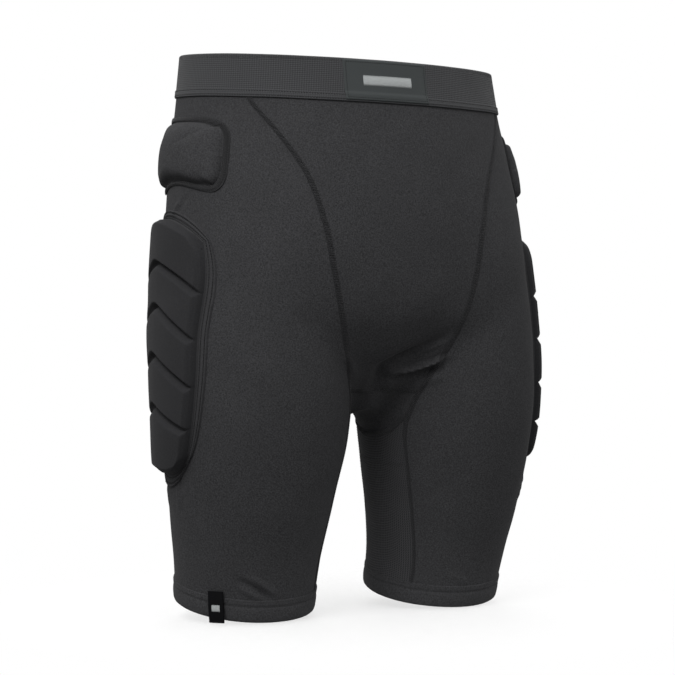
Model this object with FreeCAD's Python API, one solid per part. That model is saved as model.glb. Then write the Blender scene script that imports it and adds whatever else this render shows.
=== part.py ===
import FreeCAD, Part
import math
import os
from functools import lru_cache

# Padded impact shorts: a close-fitting stretch short with an elastic waistband, moulded foam pads on
# both thighs, softer pads on both hips and over the tailbone, and a folded hem on each leg.
# Millimetres.  Origin at the centre of the waist opening, +Z up, front towards -Y, wearer's left at +X.

# ---------------------------------------------------------------- driving dimensions
BAND_HEIGHT = 38.0          # elastic waistband
BAND_OUT = 0.8              # how far the band stands proud of the cloth
BAND_THICKNESS = 2.2
CLOTH = 2.0                 # shell cloth, solid thickness
EDGE_GAP = 0.6              # between the cut edges of neighbouring panels
LAYER_GAP = 0.35            # between stacked layers
SEAM_WIDTH = 6.0            # flatlock seam tape
SEAM_THICKNESS = 0.75
GUSSET_SEAM_GAP = 0.85       # under the gusset's seams, which cross the saddle's tight curves
HEM_Z = -487.0              # bottom edge of the legs, at the height of the leg's own axis
HEM_HEIGHT = 19.0
HEM_OUT = 0.9
HEM_THICKNESS = 2.1
FRONT_RISE_Z = -298.0       # where the front and seat panels meet the gusset
GUSSET_LOW_Z = -338.0       # lowest line of the gusset, on the inner thigh
GUSSET_ANGLE = 42.0         # the gusset's corner, round the leg from its inner side
GUSSET_CURVE = 2.8          # how square the gusset's corner is
GUSSET_VIEW = 6.0           # how far below the gusset's edges the fan of rays that finds it starts
MESH_CORNER_SHARE = 0.80    # the mesh panel's corner, as a share of GUSSET_ANGLE
STITCH_STRIP = 7.0          # height of the coverstitched strip along the band's lower edge
STITCH_THICKNESS = 0.7
HEM_STITCH = (1.5, 3.0)     # how far the hem's coverstitch reaches above and below the hem's upper edge
LABEL_WIDTH, LABEL_HEIGHT, LABEL_X = 81.0, 35.6, -13.5
LABEL_TOP = -1.2
LABEL_MARK = dict(width=46.0, height=9.0)
TAB_WIDTH, TAB_LENGTH, TAB_ANGLE = 14.0, 26.0, 142.0
TAB_THICKNESS = 1.0
TAB_MARK = dict(width=7.0, top=10.0, bottom=16.5)
MARK_THICKNESS = 0.3
MELT = 26.0                 # radius that rounds the legs into the trunk

# Trunk stations: height, centre y, half width, front depth, back depth
TRUNK = ((20, -2, 152, 104, 108), (0, -2, 153, 105, 108), (-40, -4, 158, 109, 111),
         (-90, -11, 166, 112, 116), (-140, -17, 169, 112, 118), (-190, -19, 164, 110, 120),
         (-230, -18, 147, 105, 113), (-262, -16, 110, 90, 88), (-285, -15, 64, 72, 58),
         (-303, -14, 28, 56, 34), (-320, -14, 12, 42, 24))
TRUNK_FLOOR = -313.0        # the trunk ends here, a little above the crotch
# Leg stations: height, axis x, axis y, outer, inner, front and back radius
LEG = ((20, 70, 0, 60, 50, 60, 60), (-60, 74, -4, 66, 60, 76, 80), (-120, 84, -12, 72, 66, 88, 98),
       (-180, 92, -20, 78, 78, 94, 108), (-240, 98, -25, 82, 86, 90, 98), (-290, 100, -28, 82, 86, 86, 86),
       (-340, 100.5, -27, 80.5, 82, 81, 79), (-400, 101, -20, 72.5, 72, 73, 72),
       (-446, 100.5, -13, 66, 66, 64, 66), (-485, 99, -5, 62.5, 63, 61, 64), (-530, 98, 0, 60, 61, 60, 62))
# Slope of the cutting plane: the rise of a horizontal line of the cloth per unit of y
SLOPE = ((20, 0.08), (-40, 0.08), (-150, 0.02), (-300, 0.0), (-360, 0.05), (-440, 0.16), (-560, 0.23))
# Front seam: height and angle round the leg, from its inner side (0) by the front (90) to the outside (180)
FRONT_SEAM = ((0, 142), (-38, 130), (-67, 114), (-105, 97), (-150, 86), (-190, 79), (-230, 70),
              (-262, 59), (-292, 45), (-310, 37), (-333, 31), (-376, 33), (-446, 38), (-490, 38))

# Pads: centre height, half length, centre angle round the leg, half angle at the centre
THIGH_PAD = dict(z=-260.0, half_length=121.0, angle=188.0, half_angle=46.0, taper=0.06, corner=0.42)
THIGH_TUCK = dict(angle=6.5, z=-185.0, run=70.0, lead=0.3)   # how the pad's front edge draws in further down
THIGH_RIM = (0.2, 0.09)     # width of the foam's sloping edge across and along the pad, as shares of it
THIGH_CROWN = 11.0          # foam bulge above the flange
THIGH_BLOCKS = 5
THIGH_CHEVRON = 0.3         # fall of the grooves to each side of their peak, as a share of the half length
THIGH_PEAK = 0.08           # where the grooves peak, across the pad
THIGH_LEVEL = 0.5           # how far from the peak a groove stays at its own height
GROOVE_DEPTH = 0.5          # share of the crown that is left at the bottom of a groove
HIP_PAD = dict(z=-92.0, half_length=36.0, angle=179.75, half_angle=41.25, corner=0.2)
HIP_RIM = (0.2, 0.34)
HIP_CROWN = 7.5
HIP_ARCH = 0.3              # rise of the lower edge in its middle
TAIL_PAD = dict(z=-168.0, half_length=64.0, half_width=43.0, corner=0.4)
TAIL_RIM = (0.28, 0.16)
TAIL_CROWN = 8.0
TAIL_BLOCKS = 3
BLOCK_ROWS = (0.12, 0.3, 0.5, 0.7, 0.88)    # places across one foam block
FLANGE = 0.86               # where the foam ends and the sewn flange begins, as a share of the pad
BACKING = 0.8
FOAM_GAP = 1.0               # between the backing and the foam blocks
FLANGE_GAP = 0.8             # between the backing and the cover's sewn flange
FOAM_CLEARANCE = 0.9        # between the foam and the cover over it
COVER = 0.8

X, Y, Z = 0, 1, 2


# ---------------------------------------------------------------- the body's form
@lru_cache(maxsize=None)
def station(table, column, z):
    """Smooth curve through one column of a station table, heights falling."""
    z = min(max(z, table[-1][0]), table[0][0])
    i = next(k for k in range(len(table) - 1) if z >= table[k + 1][0])
    z0, z1 = table[i][0], table[i + 1][0]
    v0, v1 = table[i][column], table[i + 1][column]

    def slope(k):
        a, b = max(k - 1, 0), min(k + 1, len(table) - 1)
        return (table[b][column] - table[a][column]) / (table[b][0] - table[a][0])

    t = (z - z0) / (z1 - z0)
    m0, m1 = slope(i) * (z1 - z0), slope(i + 1) * (z1 - z0)
    return ((2 * t ** 3 - 3 * t ** 2 + 1) * v0 + (t ** 3 - 2 * t ** 2 + t) * m0
            + (3 * t ** 2 - 2 * t ** 3) * v1 + (t ** 3 - t ** 2) * m1)


def egg(dx, dy, right, left, front, back):
    """Signed distance, roughly, to an oval with four different radii."""
    rx = right if dx > 0 else left
    ry = front if dy < 0 else back
    q = math.hypot(dx / rx, dy / ry)
    reach = math.hypot(dx, dy)
    local = reach / q if q > 1e-6 else min(rx, ry)
    return (q - 1) * local


def melt(a, b):
    h = min(max(0.5 + 0.5 * (b - a) / MELT, 0), 1)
    return b * (1 - h) + a * h - MELT * h * (1 - h)


def form(x, y, z):
    """Below zero inside the body, zero on the cloth's outer face."""
    z = round(z, 4)
    width = station(TRUNK, 2, z)
    trunk = egg(x, y - station(TRUNK, 1, z), width, width, station(TRUNK, 3, z), station(TRUNK, 4, z))
    trunk = max(trunk, TRUNK_FLOOR - z)
    cx, cy, outer, inner, front, back = (station(LEG, c, z) for c in range(1, 7))
    left = egg(x - cx, y - cy, outer, inner, front, back)
    right = egg(-x - cx, y - cy, outer, inner, front, back)
    return melt(melt(left, right), trunk)


def along(point, direction, t):
    return tuple(point[k] + direction[k] * t for k in range(3))


def cast(start, direction, reach=230.0, step=5.0):
    """The first point where a ray from inside the body comes out."""
    t = 0.0
    while t < reach and form(*along(start, direction, t + step)) < 0:
        t += step
    low, high = t, t + step
    for _ in range(16):
        middle = (low + high) / 2
        if form(*along(start, direction, middle)) < 0:
            low = middle
        else:
            high = middle
    return along(start, direction, (low + high) / 2)


def normal(point):
    e = 0.5
    g = []
    for k in range(3):
        step = [0.0, 0.0, 0.0]
        step[k] = e
        g.append(form(*along(point, step, 1)) - form(*along(point, step, -1)))
    size = math.sqrt(sum(v * v for v in g))
    return tuple(v / size for v in g)


def settle(point):
    """Moves a point that is near the surface onto it."""
    for _ in range(4):
        point = along(point, normal(point), -form(*point))
    return point


def raised(point, height):
    return along(point, normal(point), height)


# ---------------------------------------------------------------- places on the form (wearer's left half)
def leg_point(z0, angle):
    """On the leg at an angle round its axis, in the cloth's own tilted row at height z0."""
    k = station(SLOPE, 1, z0)
    cx, cy = station(LEG, 1, z0), station(LEG, 2, z0)
    c, s = math.cos(math.radians(angle)), math.sin(math.radians(angle))
    return cast((cx, cy, z0 + k * cy), (-c, -s, -k * s))


def trunk_point(z0, x, facing):
    """On the front (facing -1) or the back (+1) of the trunk at a given x."""
    k = station(SLOPE, 1, z0)
    cy = station(LEG, 2, z0)
    return cast((x, cy, z0 + k * cy), (0, facing, k * facing))


def waist_point(z0, angle):
    k = station(SLOPE, 1, z0)
    c, s = math.cos(math.radians(angle)), math.sin(math.radians(angle))
    return cast((0, 0, z0), (c, s, k * s))


def seam_angle(z0):
    return station(FRONT_SEAM, 1, z0)


def angle_for(length, z0, angle):
    """Degrees round the leg for a short length along its surface."""
    a, b = leg_point(z0, angle - 1), leg_point(z0, angle + 1)
    return 2 * length / math.dist(a, b)


def gusset_z(angle):
    """Height of the gusset's lower edge at an angle round the leg."""
    rise = FRONT_RISE_Z - GUSSET_LOW_Z
    return GUSSET_LOW_Z + rise * (abs(angle) / GUSSET_ANGLE) ** GUSSET_CURVE


def spread(low, high, count):
    return [low + (high - low) * i / (count - 1) for i in range(count)]


# ---------------------------------------------------------------- solids from grids of points
def vector(point):
    return FreeCAD.Vector(*point)


def surface(grid):
    s = Part.BSplineSurface()
    s.interpolate([[vector(p) for p in row] for row in grid])
    return s


def draped_surface(grid):
    """A cubic surface that takes the grid as its control net, so that it never overshoots."""
    poles = [[vector(p) for p in row] for row in grid]
    knots, counts = [], []
    for count in (len(poles), len(poles[0])):
        knots.append(list(range(count - 2)))
        counts.append([4] + [1] * (count - 4) + [4])
    s = Part.BSplineSurface()
    s.buildFromPolesMultsKnots(poles, counts[0], counts[1], knots[0], knots[1], False, False, 3, 3)
    return s


def closed(faces):
    shell = Part.Shell(faces)
    shell.sewShape()
    solid = Part.Solid(shell)
    if solid.Volume < 0:
        solid.reverse()
    return solid


def slab(under, over, make_surface=surface):
    """A closed solid between two grids of points of the same size."""
    a, b = make_surface(under), make_surface(over)
    faces = [a.toShape(), b.toShape()]
    for iso, ends in (("uIso", a.bounds()[:2]), ("vIso", a.bounds()[2:])):
        top_ends = b.bounds()[:2] if iso == "uIso" else b.bounds()[2:]
        for low, high in zip(ends, top_ends):
            edges = getattr(a, iso)(low).toShape(), getattr(b, iso)(high).toShape()
            faces.append(Part.makeRuledSurface(*edges))
    return closed(faces)


def layer(grid, low, high, make_surface=surface):
    """The slab between two heights above a grid of points on the form."""
    return slab([[raised(p, low) for p in row] for row in grid],
                [[raised(p, high) for p in row] for row in grid], make_surface)


def ring(rows, low, high):
    """A closed band through rows of points that go once round."""
    def loop(points, height):
        curve = Part.BSplineCurve()
        curve.interpolate(Points=[vector(raised(p, height)) for p in points], PeriodicFlag=True)
        return curve.toShape()

    inner = [loop(row, low) for row in rows]
    outer = [loop(row, high) for row in rows]
    faces = [Part.makeRuledSurface(a, b) for side in (inner, outer) for a, b in zip(side, side[1:])]
    faces += [Part.makeRuledSurface(inner[end], outer[end]) for end in (0, -1)]
    return closed(faces)


parts = {}


def add(name, shape):
    parts[name] = shape


def add_pair(name, shape):
    """The wearer's left piece as made, and its mirror image on the right."""
    add("left_" + name, shape)
    add("right_" + name, shape.mirror(FreeCAD.Vector(0, 0, 0), FreeCAD.Vector(1, 0, 0)))


# ---------------------------------------------------------------- waistband
def waist_rows(top, bottom, count):
    return [[waist_point(z, 360 * i / 40) for i in range(40)] for z in spread(top, bottom, count)]


def make_waistband():
    add("waistband_elastic", ring(waist_rows(0, -BAND_HEIGHT, 4), BAND_OUT - BAND_THICKNESS, BAND_OUT))
    low = BAND_OUT + LAYER_GAP
    rows = waist_rows(STITCH_STRIP - BAND_HEIGHT, -BAND_HEIGHT, 2)
    add("waistband_coverstitch", ring(rows, low, low + STITCH_THICKNESS))


def front_of_waist(x, z0):
    return trunk_point(z0, x, -1)


def make_label():
    low = BAND_OUT + LAYER_GAP + STITCH_THICKNESS + LAYER_GAP
    heights = spread(LABEL_TOP, LABEL_TOP - LABEL_HEIGHT, 4)
    grid = [[front_of_waist(LABEL_X + LABEL_WIDTH * u, z) for u in spread(-0.5, 0.5, 9)] for z in heights]
    add("waistband_label", layer(grid, low, low + STITCH_THICKNESS))
    low += STITCH_THICKNESS + LAYER_GAP
    middle = LABEL_TOP - LABEL_HEIGHT / 2
    grid = [[front_of_waist(LABEL_X + LABEL_MARK["width"] * u, middle + LABEL_MARK["height"] * v)
             for u in spread(-0.5, 0.5, 7)] for v in (-0.5, 0, 0.5)]
    add("label_mark", layer(grid, low, low + MARK_THICKNESS))


# ---------------------------------------------------------------- cloth panels
def make_panels():
    top, bottom = -BAND_HEIGHT - EDGE_GAP, HEM_Z + HEM_HEIGHT + EDGE_GAP
    for name, facing in (("front_panel", -1), ("seat_panel", 1)):
        rows = []
        for z in spread(top, FRONT_RISE_Z + EDGE_GAP, 41):
            edge = leg_point(z, facing * -seam_angle(z))[X] - EDGE_GAP
            rows.append([trunk_point(z, edge * math.sin(math.pi / 2 * u), facing) for u in spread(-1, 1, 13)])
        add(name, layer(rows, -CLOTH, 0))

    rows = []
    for z in spread(top, bottom, 45):
        first = seam_angle(z) + angle_for(EDGE_GAP, z, seam_angle(z))
        rows.append([leg_point(z, a) for a in spread(first, 360 - first, 21)])
    add_pair("side_panel", layer(rows, -CLOTH, 0))

    corner = GUSSET_ANGLE * MESH_CORNER_SHARE
    rows = []
    for share in spread(0, 1, 13):
        row = []
        for w in spread(-1, 1, 11):
            start = gusset_z(corner * w) - 2 * EDGE_GAP
            z = start + (bottom - start) * share
            limit = seam_angle(z) - angle_for(EDGE_GAP, z, seam_angle(z))
            row.append(leg_point(z, limit * w))
        rows.append(row)
    add_pair("inner_mesh_panel", layer(rows, -CLOTH, 0))


def reach_cloth(start, direction, step=1.5):
    """The first point where a ray from the gap between the legs meets the cloth."""
    t = 0.0
    while form(*along(start, direction, t + step)) > 0:
        t += step
    low, high = t, t + step
    for _ in range(16):
        middle = (low + high) / 2
        if form(*along(start, direction, middle)) > 0:
            low = middle
        else:
            high = middle
    return along(start, direction, (low + high) / 2)


def make_gusset():
    """A saddle between the legs: fans of rays in planes that turn from front, by down, to back."""
    rows = []
    for v in spread(-1, 1, 29):
        angle = -v * (GUSSET_ANGLE - 1.2)
        edge = leg_point(gusset_z(angle) + 2 * EDGE_GAP, angle)
        lean = math.radians(90 * v)
        way = (0, math.sin(lean), -math.cos(lean))
        start = along((0, edge[Y], edge[Z]), way, GUSSET_VIEW)
        half = math.pi / 2 - math.atan(GUSSET_VIEW / edge[X])
        row = []
        for u in spread(-1, 1, 21):
            c, s = math.cos(half * u), math.sin(half * u)
            row.append(reach_cloth(start, (s, -way[Y] * c, -way[Z] * c)))
        rows.append(row)
    add("crotch_gusset", layer(rows, -CLOTH, 0, draped_surface))


# ---------------------------------------------------------------- seams
def make_seams():
    low, high = LAYER_GAP, LAYER_GAP + SEAM_THICKNESS
    top, bottom = -BAND_HEIGHT - EDGE_GAP - 0.4, HEM_Z + HEM_HEIGHT + EDGE_GAP
    for name, side in (("front_seam", 1), ("back_seam", -1)):
        rows = []
        for z in spread(top, bottom, 55):
            angle = side * seam_angle(z)
            half = angle_for(SEAM_WIDTH / 2, z, angle)
            rows.append([leg_point(z, angle + half * u) for u in (-1, 0, 1)])
        add_pair(name, layer(rows, low, high))

    low, high = GUSSET_SEAM_GAP, GUSSET_SEAM_GAP + SEAM_THICKNESS
    rows = []
    for w in spread(-0.64, 0.64, 11):
        angle = w * GUSSET_ANGLE
        rows.append([leg_point(gusset_z(angle) + SEAM_WIDTH / 2 * u, angle) for u in (-1, 0, 1)])
    add_pair("gusset_thigh_seam", layer(rows, low, high))

    for name, facing in (("gusset_front_seam", -1), ("gusset_back_seam", 1)):
        reach = leg_point(FRONT_RISE_Z, facing * -GUSSET_ANGLE)[X] - SEAM_WIDTH
        rows = [[trunk_point(FRONT_RISE_Z + SEAM_WIDTH / 2 * u, x, facing) for u in (-1, 0, 1)]
                for x in spread(-reach, reach, 9)]
        add(name, layer(rows, low, high))


# ---------------------------------------------------------------- hems and tab
def leg_rows(top, bottom, count):
    return [[leg_point(z, 360 * i / 32) for i in range(32)] for z in spread(top, bottom, count)]


def make_hems():
    add_pair("hem_band", ring(leg_rows(HEM_Z + HEM_HEIGHT, HEM_Z, 3), HEM_OUT - HEM_THICKNESS, HEM_OUT))
    low = HEM_OUT + LAYER_GAP
    edge, (above, below) = HEM_Z + HEM_HEIGHT, HEM_STITCH
    add_pair("hem_coverstitch", ring(leg_rows(edge + above, edge - below, 2), low, low + STITCH_THICKNESS))


def mirrored(point):
    return (-point[X], point[Y], point[Z])


def tab_frame():
    """Hinge point, outward direction and sideways direction of the tab on the wearer's right leg."""
    root = mirrored(raised(leg_point(HEM_Z + TAB_LENGTH - 3, TAB_ANGLE), 0))
    out = normal(root)
    size = math.hypot(out[X], out[Y])
    out = (out[X] / size, out[Y] / size, 0)
    return along(root, out, HEM_OUT + 4 * LAYER_GAP + STITCH_THICKNESS), out, (-out[Y], out[X], 0)


def tab_block(low, high, width, top, bottom):
    """A flat block in the tab's own frame: out, sideways and down."""
    root, out, side = tab_frame()
    hang = normal(root)
    down = (-hang[Z] * out[X] * -0.5, -hang[Z] * out[Y] * -0.5, -1.0)

    def corner(o, s, d):
        return vector(along(along(along(root, out, o), side, s), down, d))

    def outline(o):
        points = [corner(o, -width / 2, top), corner(o, width / 2, top),
                  corner(o, width / 2, bottom), corner(o, -width / 2, bottom)]
        return Part.Wire(Part.makePolygon(points + points[:1]))

    return Part.makeLoft([outline(low), outline(high)], True)


def make_tab():
    add("hem_tab", tab_block(0, TAB_THICKNESS, TAB_WIDTH, 0, TAB_LENGTH))
    mark = tab_block(TAB_THICKNESS, TAB_THICKNESS + MARK_THICKNESS, **TAB_MARK)
    add("hem_tab_mark", mark)


# ---------------------------------------------------------------- pads
def smooth(t):
    t = min(max(t, 0), 1)
    return t * t * (3 - 2 * t)


def rounded(x, y, corner):
    """Maps a square onto a square with full round corners, whose middle rows stay straight."""
    return x * math.sqrt(1 - corner * y * y), y * (1 - abs(y) * (1 - math.sqrt(1 - corner * x * x)))


def rim(t, width):
    """1 over the foam, falling to 0 at the flange."""
    return smooth((FLANGE - abs(t)) / width)


def thigh_place(x, y):
    pad = THIGH_PAD
    u, w = rounded(x, y, pad["corner"])
    across = math.hypot(min(abs(x - THIGH_PEAK), 0.88), 0.1)
    w -= THIGH_CHEVRON * (1 - abs(y) ** 2.5) * (across - THIGH_LEVEL)
    z = pad["z"] + pad["half_length"] * w
    half = pad["half_angle"] + (z - pad["z"]) * pad["taper"]
    tuck = THIGH_TUCK["angle"] * (smooth((THIGH_TUCK["z"] - z) / THIGH_TUCK["run"]) - THIGH_TUCK["lead"])
    return leg_point(z, pad["angle"] + half * u + tuck * max(-u, 0))


def hip_place(x, y):
    pad = HIP_PAD
    u, w = rounded(x, y, pad["corner"])
    w += HIP_ARCH * (1 - x * x) ** 2 * (1 - y) / 2
    return leg_point(pad["z"] + pad["half_length"] * w, pad["angle"] + pad["half_angle"] * u)


def tail_place(x, y):
    pad = TAIL_PAD
    u, w = rounded(x, y, pad["corner"])
    width = pad["half_width"] * (1 + 0.22 * w)
    return trunk_point(pad["z"] + pad["half_length"] * w, width * u, 1)


def block_bulge(y, blocks):
    """Height share along a pad that is cut by grooves into blocks of equal length."""
    if blocks == 1:
        return 1.0
    t = (y + FLANGE) / (2 * FLANGE) * blocks
    return GROOVE_DEPTH + (1 - GROOVE_DEPTH) * abs(math.sin(math.pi * t)) ** 0.6


def make_pad(name, place, crown, rims, blocks, pair):
    """Backing cloth, foam blocks and a moulded cover that closes over them down to a sewn flange."""
    columns = (-1, -0.93, -FLANGE, -0.79, -0.72, -0.5, -0.25, 0, 0.25, 0.5, 0.72, 0.79, FLANGE, 0.93, 1)
    foam_columns = columns[4:-4]
    length = 2 * FLANGE / blocks
    starts = [-FLANGE + length * i for i in range(blocks)]
    block_rows = [[start + length * share for share in BLOCK_ROWS] for start in starts]
    rows = [-1, -0.94]
    for start, inside in zip(starts, block_rows):
        rows += [start] + inside
    rows += [FLANGE, 0.94, 1]
    foam_rows = [[y for y in inside if abs(y) < FLANGE - rims[1] * 0.6] for inside in block_rows]
    spot = {(x, y): place(x, y) for y in rows for x in columns}
    flange_low = LAYER_GAP + BACKING + FLANGE_GAP

    def under_cover(x, y):
        return flange_low + crown * rim(x, rims[0]) * rim(y, rims[1]) * block_bulge(y, blocks)

    def lifted(xs, ys, height):
        return [[raised(spot[x, y], height(x, y)) for x in xs] for y in ys]

    put = add_pair if pair else add
    put(name + "_backing", slab(lifted(columns, rows, lambda x, y: LAYER_GAP),
                                lifted(columns, rows, lambda x, y: LAYER_GAP + BACKING)))
    put(name + "_cover", slab(lifted(columns, rows, under_cover),
                              lifted(columns, rows, lambda x, y: under_cover(x, y) + COVER)))
    floor = LAYER_GAP + BACKING + FOAM_GAP

    def foam_top(x, y):
        return max(under_cover(x, y) - FOAM_CLEARANCE, floor + 0.5)

    for index, ys in enumerate(foam_rows):
        block = slab(lifted(foam_columns, ys, lambda x, y: floor), lifted(foam_columns, ys, foam_top))
        put(name + "_foam" + ("" if blocks == 1 else "_%d" % (blocks - index)), block)


def make_pads():
    make_pad("thigh_pad", thigh_place, THIGH_CROWN, THIGH_RIM, THIGH_BLOCKS, True)
    make_pad("hip_pad", hip_place, HIP_CROWN, HIP_RIM, 1, True)
    make_pad("tailbone_pad", tail_place, TAIL_CROWN, TAIL_RIM, TAIL_BLOCKS, False)


make_waistband()
make_label()
make_panels()
make_gusset()
make_seams()
make_hems()
make_tab()
make_pads()

os.makedirs("parts", exist_ok=True)
for node, shape in sorted(parts.items()):
    shape.exportStep("parts/%s.step" % node)
    box = shape.BoundBox
    print("%-26s %8.1f mm3  x %7.1f %7.1f  y %7.1f %7.1f  z %7.1f %7.1f  %s %d" % (
        node, shape.Volume, box.XMin, box.XMax, box.YMin, box.YMax, box.ZMin, box.ZMax,
        "valid" if shape.isValid() else "NOT VALID", len(shape.Solids)))
print(len(parts), "nodes")
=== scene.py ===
import math

import bpy
import numpy as np
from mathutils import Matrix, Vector


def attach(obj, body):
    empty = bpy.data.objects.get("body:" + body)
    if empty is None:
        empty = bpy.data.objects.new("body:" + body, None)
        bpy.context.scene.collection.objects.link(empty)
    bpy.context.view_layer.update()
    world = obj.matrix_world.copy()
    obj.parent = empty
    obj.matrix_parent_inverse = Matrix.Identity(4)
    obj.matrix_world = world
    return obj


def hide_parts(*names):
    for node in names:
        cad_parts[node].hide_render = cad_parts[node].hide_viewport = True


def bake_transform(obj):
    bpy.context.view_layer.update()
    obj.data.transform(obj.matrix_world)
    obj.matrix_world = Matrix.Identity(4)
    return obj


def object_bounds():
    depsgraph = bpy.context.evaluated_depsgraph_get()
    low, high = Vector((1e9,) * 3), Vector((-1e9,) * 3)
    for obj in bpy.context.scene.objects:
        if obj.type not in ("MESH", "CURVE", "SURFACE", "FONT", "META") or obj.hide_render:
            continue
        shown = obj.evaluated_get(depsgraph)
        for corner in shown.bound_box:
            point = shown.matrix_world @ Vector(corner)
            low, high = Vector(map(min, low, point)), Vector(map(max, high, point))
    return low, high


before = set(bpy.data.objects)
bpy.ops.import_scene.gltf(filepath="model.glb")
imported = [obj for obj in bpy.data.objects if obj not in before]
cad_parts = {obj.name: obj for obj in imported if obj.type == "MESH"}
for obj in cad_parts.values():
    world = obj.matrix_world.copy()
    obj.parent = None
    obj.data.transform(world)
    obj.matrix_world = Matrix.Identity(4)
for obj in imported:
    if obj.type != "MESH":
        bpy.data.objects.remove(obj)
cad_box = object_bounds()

# Padded impact shorts.  Points on the garment are worked out in millimetres from the same station tables as
# the CAD part, and meshes are in metres.  Origin at the centre of the waist opening, +Z up, front towards -Y,
# wearer's left at +X.

MM = 0.001
SIDES = (("right", -1), ("left", 1))

# ---------------------------------------------------------------- the garment's driving dimensions
BAND_OUT = 0.8              # how far the waistband stands off the form
CLOTH = 1.1                 # thickness of the shell cloth
MESH_CLOTH = 0.9            # thickness of the mesh panels
SEAM_WIDTH = 5.4
LEG_SEAM_TAPER = 0.4        # how much narrower the seams are beside the mesh panels
HEM_Z = -487.0
HEM_HEIGHT = 19.0
FRONT_RISE_Z = -298.0       # where the gusset meets the front and seat panels
GUSSET_LOW_Z = -338.0       # the gusset's lowest edge, on the inner thigh
GUSSET_ANGLE = 42.0         # how far round each leg the gusset reaches
GUSSET_CURVE = 2.8
GUSSET_VIEW = 6.0           # how far outside the gusset's edge its rays start
MESH_CORNER_SHARE = 0.80
LABEL_WIDTH, LABEL_HEIGHT, LABEL_X, LABEL_TOP = 81.0, 35.6, -13.5, -1.2
LABEL_BORDER = 2.2          # from the label's edge to its stitched border
LABEL_MARK = dict(width=46.0, height=9.0)
TAB_WIDTH, TAB_LENGTH, TAB_ANGLE = 14.0, 26.0, 142.0
TAB_MARK = dict(width=7.0, top=10.0, bottom=16.5)
MELT = 26.0                 # how widely the legs and the trunk run into each other

# Trunk stations: height, centre y, half width, front depth, back depth
TRUNK = ((20, -2, 152, 104, 108), (0, -2, 153, 105, 108), (-40, -4, 158, 109, 111),
         (-90, -11, 166, 112, 116), (-140, -17, 169, 112, 118), (-190, -19, 164, 110, 120),
         (-230, -18, 147, 105, 113), (-262, -16, 110, 90, 88), (-285, -15, 64, 72, 58),
         (-303, -14, 28, 56, 34), (-320, -14, 12, 42, 24))
TRUNK_FLOOR = -313.0
# Leg stations: height, axis x, axis y, outer, inner, front and back radius
LEG = ((20, 70, 0, 60, 50, 60, 60), (-60, 74, -4, 66, 60, 76, 80), (-120, 84, -12, 72, 66, 88, 98),
       (-180, 92, -20, 78, 78, 94, 108), (-240, 98, -25, 82, 86, 90, 98), (-290, 100, -28, 82, 86, 86, 86),
       (-340, 100.5, -27, 80.5, 82, 81, 79), (-400, 101, -20, 72.5, 72, 73, 72),
       (-446, 100.5, -13, 66, 66, 64, 66), (-485, 99, -5, 62.5, 63, 61, 64), (-530, 98, 0, 60, 61, 60, 62))
# Tilt of the cloth's rows at each height, and angle of the front seam round the leg
SLOPE = ((20, 0.08), (-40, 0.08), (-150, 0.02), (-300, 0.0), (-360, 0.05), (-440, 0.16), (-560, 0.23))
FRONT_SEAM = ((0, 142), (-38, 130), (-67, 114), (-105, 97), (-150, 86), (-190, 79), (-230, 70),
              (-262, 59), (-292, 45), (-310, 37), (-333, 31), (-376, 33), (-446, 38), (-490, 38))

THIGH_PAD = dict(z=-260.0, half_length=121.0, angle=188.0, half_angle=46.0, taper=0.06, corner=0.42)
THIGH_TUCK = dict(angle=6.5, z=-185.0, run=70.0, lead=0.3)
THIGH_SIZE = (66.0, 121.0)  # half width and half length of the pad on the cloth
THIGH_CROWN = 11.0          # height of the blocks above the flange
THIGH_BLOCKS = 5
THIGH_CHEVRON = 0.3         # how steeply the grooves run down from their peak
THIGH_PEAK = 0.08           # where the grooves peak across the pad
THIGH_LEVEL = 0.5
FLANGE = 0.86               # the blocks' grooves divide this share of the pad's length
HIP_PAD = dict(z=-92.0, half_length=36.0, angle=179.75, half_angle=41.25)
HIP_SIZE = (60.0, 36.0)
HIP_CROWN = 7.5
HIP_ARCH = 0.3              # how far the pad's lower edge arches up
TAIL_PAD = dict(z=-168.0, half_length=64.0, half_width=43.0, corner=0.4)
TAIL_SIZE = (43.0, 64.0)
TAIL_CROWN = 8.0
TAIL_BLOCKS = 3

X, Y, Z = 0, 1, 2
HEIGHTS = np.arange(-545.0, 25.0, 0.5)


# ---------------------------------------------------------------- the body's form, as in the CAD part
def station_curve(table, column):
    """One column of a station table as a smooth curve over HEIGHTS."""
    heights = np.array([row[0] for row in table], float)
    values = np.array([row[column] for row in table], float)
    index = np.arange(len(table))
    before, after = np.maximum(index - 1, 0), np.minimum(index + 1, len(table) - 1)
    slopes = (values[after] - values[before]) / (heights[after] - heights[before])
    z = np.clip(HEIGHTS, heights[-1], heights[0])
    i = np.clip(np.searchsorted(-heights, -z, side="right") - 1, 0, len(table) - 2)
    span = heights[i + 1] - heights[i]
    t = (z - heights[i]) / span
    return ((2 * t ** 3 - 3 * t ** 2 + 1) * values[i] + (t ** 3 - 2 * t ** 2 + t) * slopes[i] * span
            + (3 * t ** 2 - 2 * t ** 3) * values[i + 1] + (t ** 3 - t ** 2) * slopes[i + 1] * span)


TRUNK_CURVES = [station_curve(TRUNK, column) for column in range(1, 5)]
LEG_CURVES = [station_curve(LEG, column) for column in range(1, 7)]
SLOPE_CURVE = station_curve(SLOPE, 1)
SEAM_CURVE = station_curve(FRONT_SEAM, 1)


def at(curve, z):
    return np.interp(z, HEIGHTS, curve)


def egg(dx, dy, right, left, front, back):
    """Signed distance, roughly, to an oval with four different radii."""
    reach = np.hypot(dx, dy)
    q = np.hypot(dx / np.where(dx > 0, right, left), dy / np.where(dy < 0, front, back))
    return np.where(q > 1e-6, reach - reach / np.maximum(q, 1e-6), -np.minimum(right, front))


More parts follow.
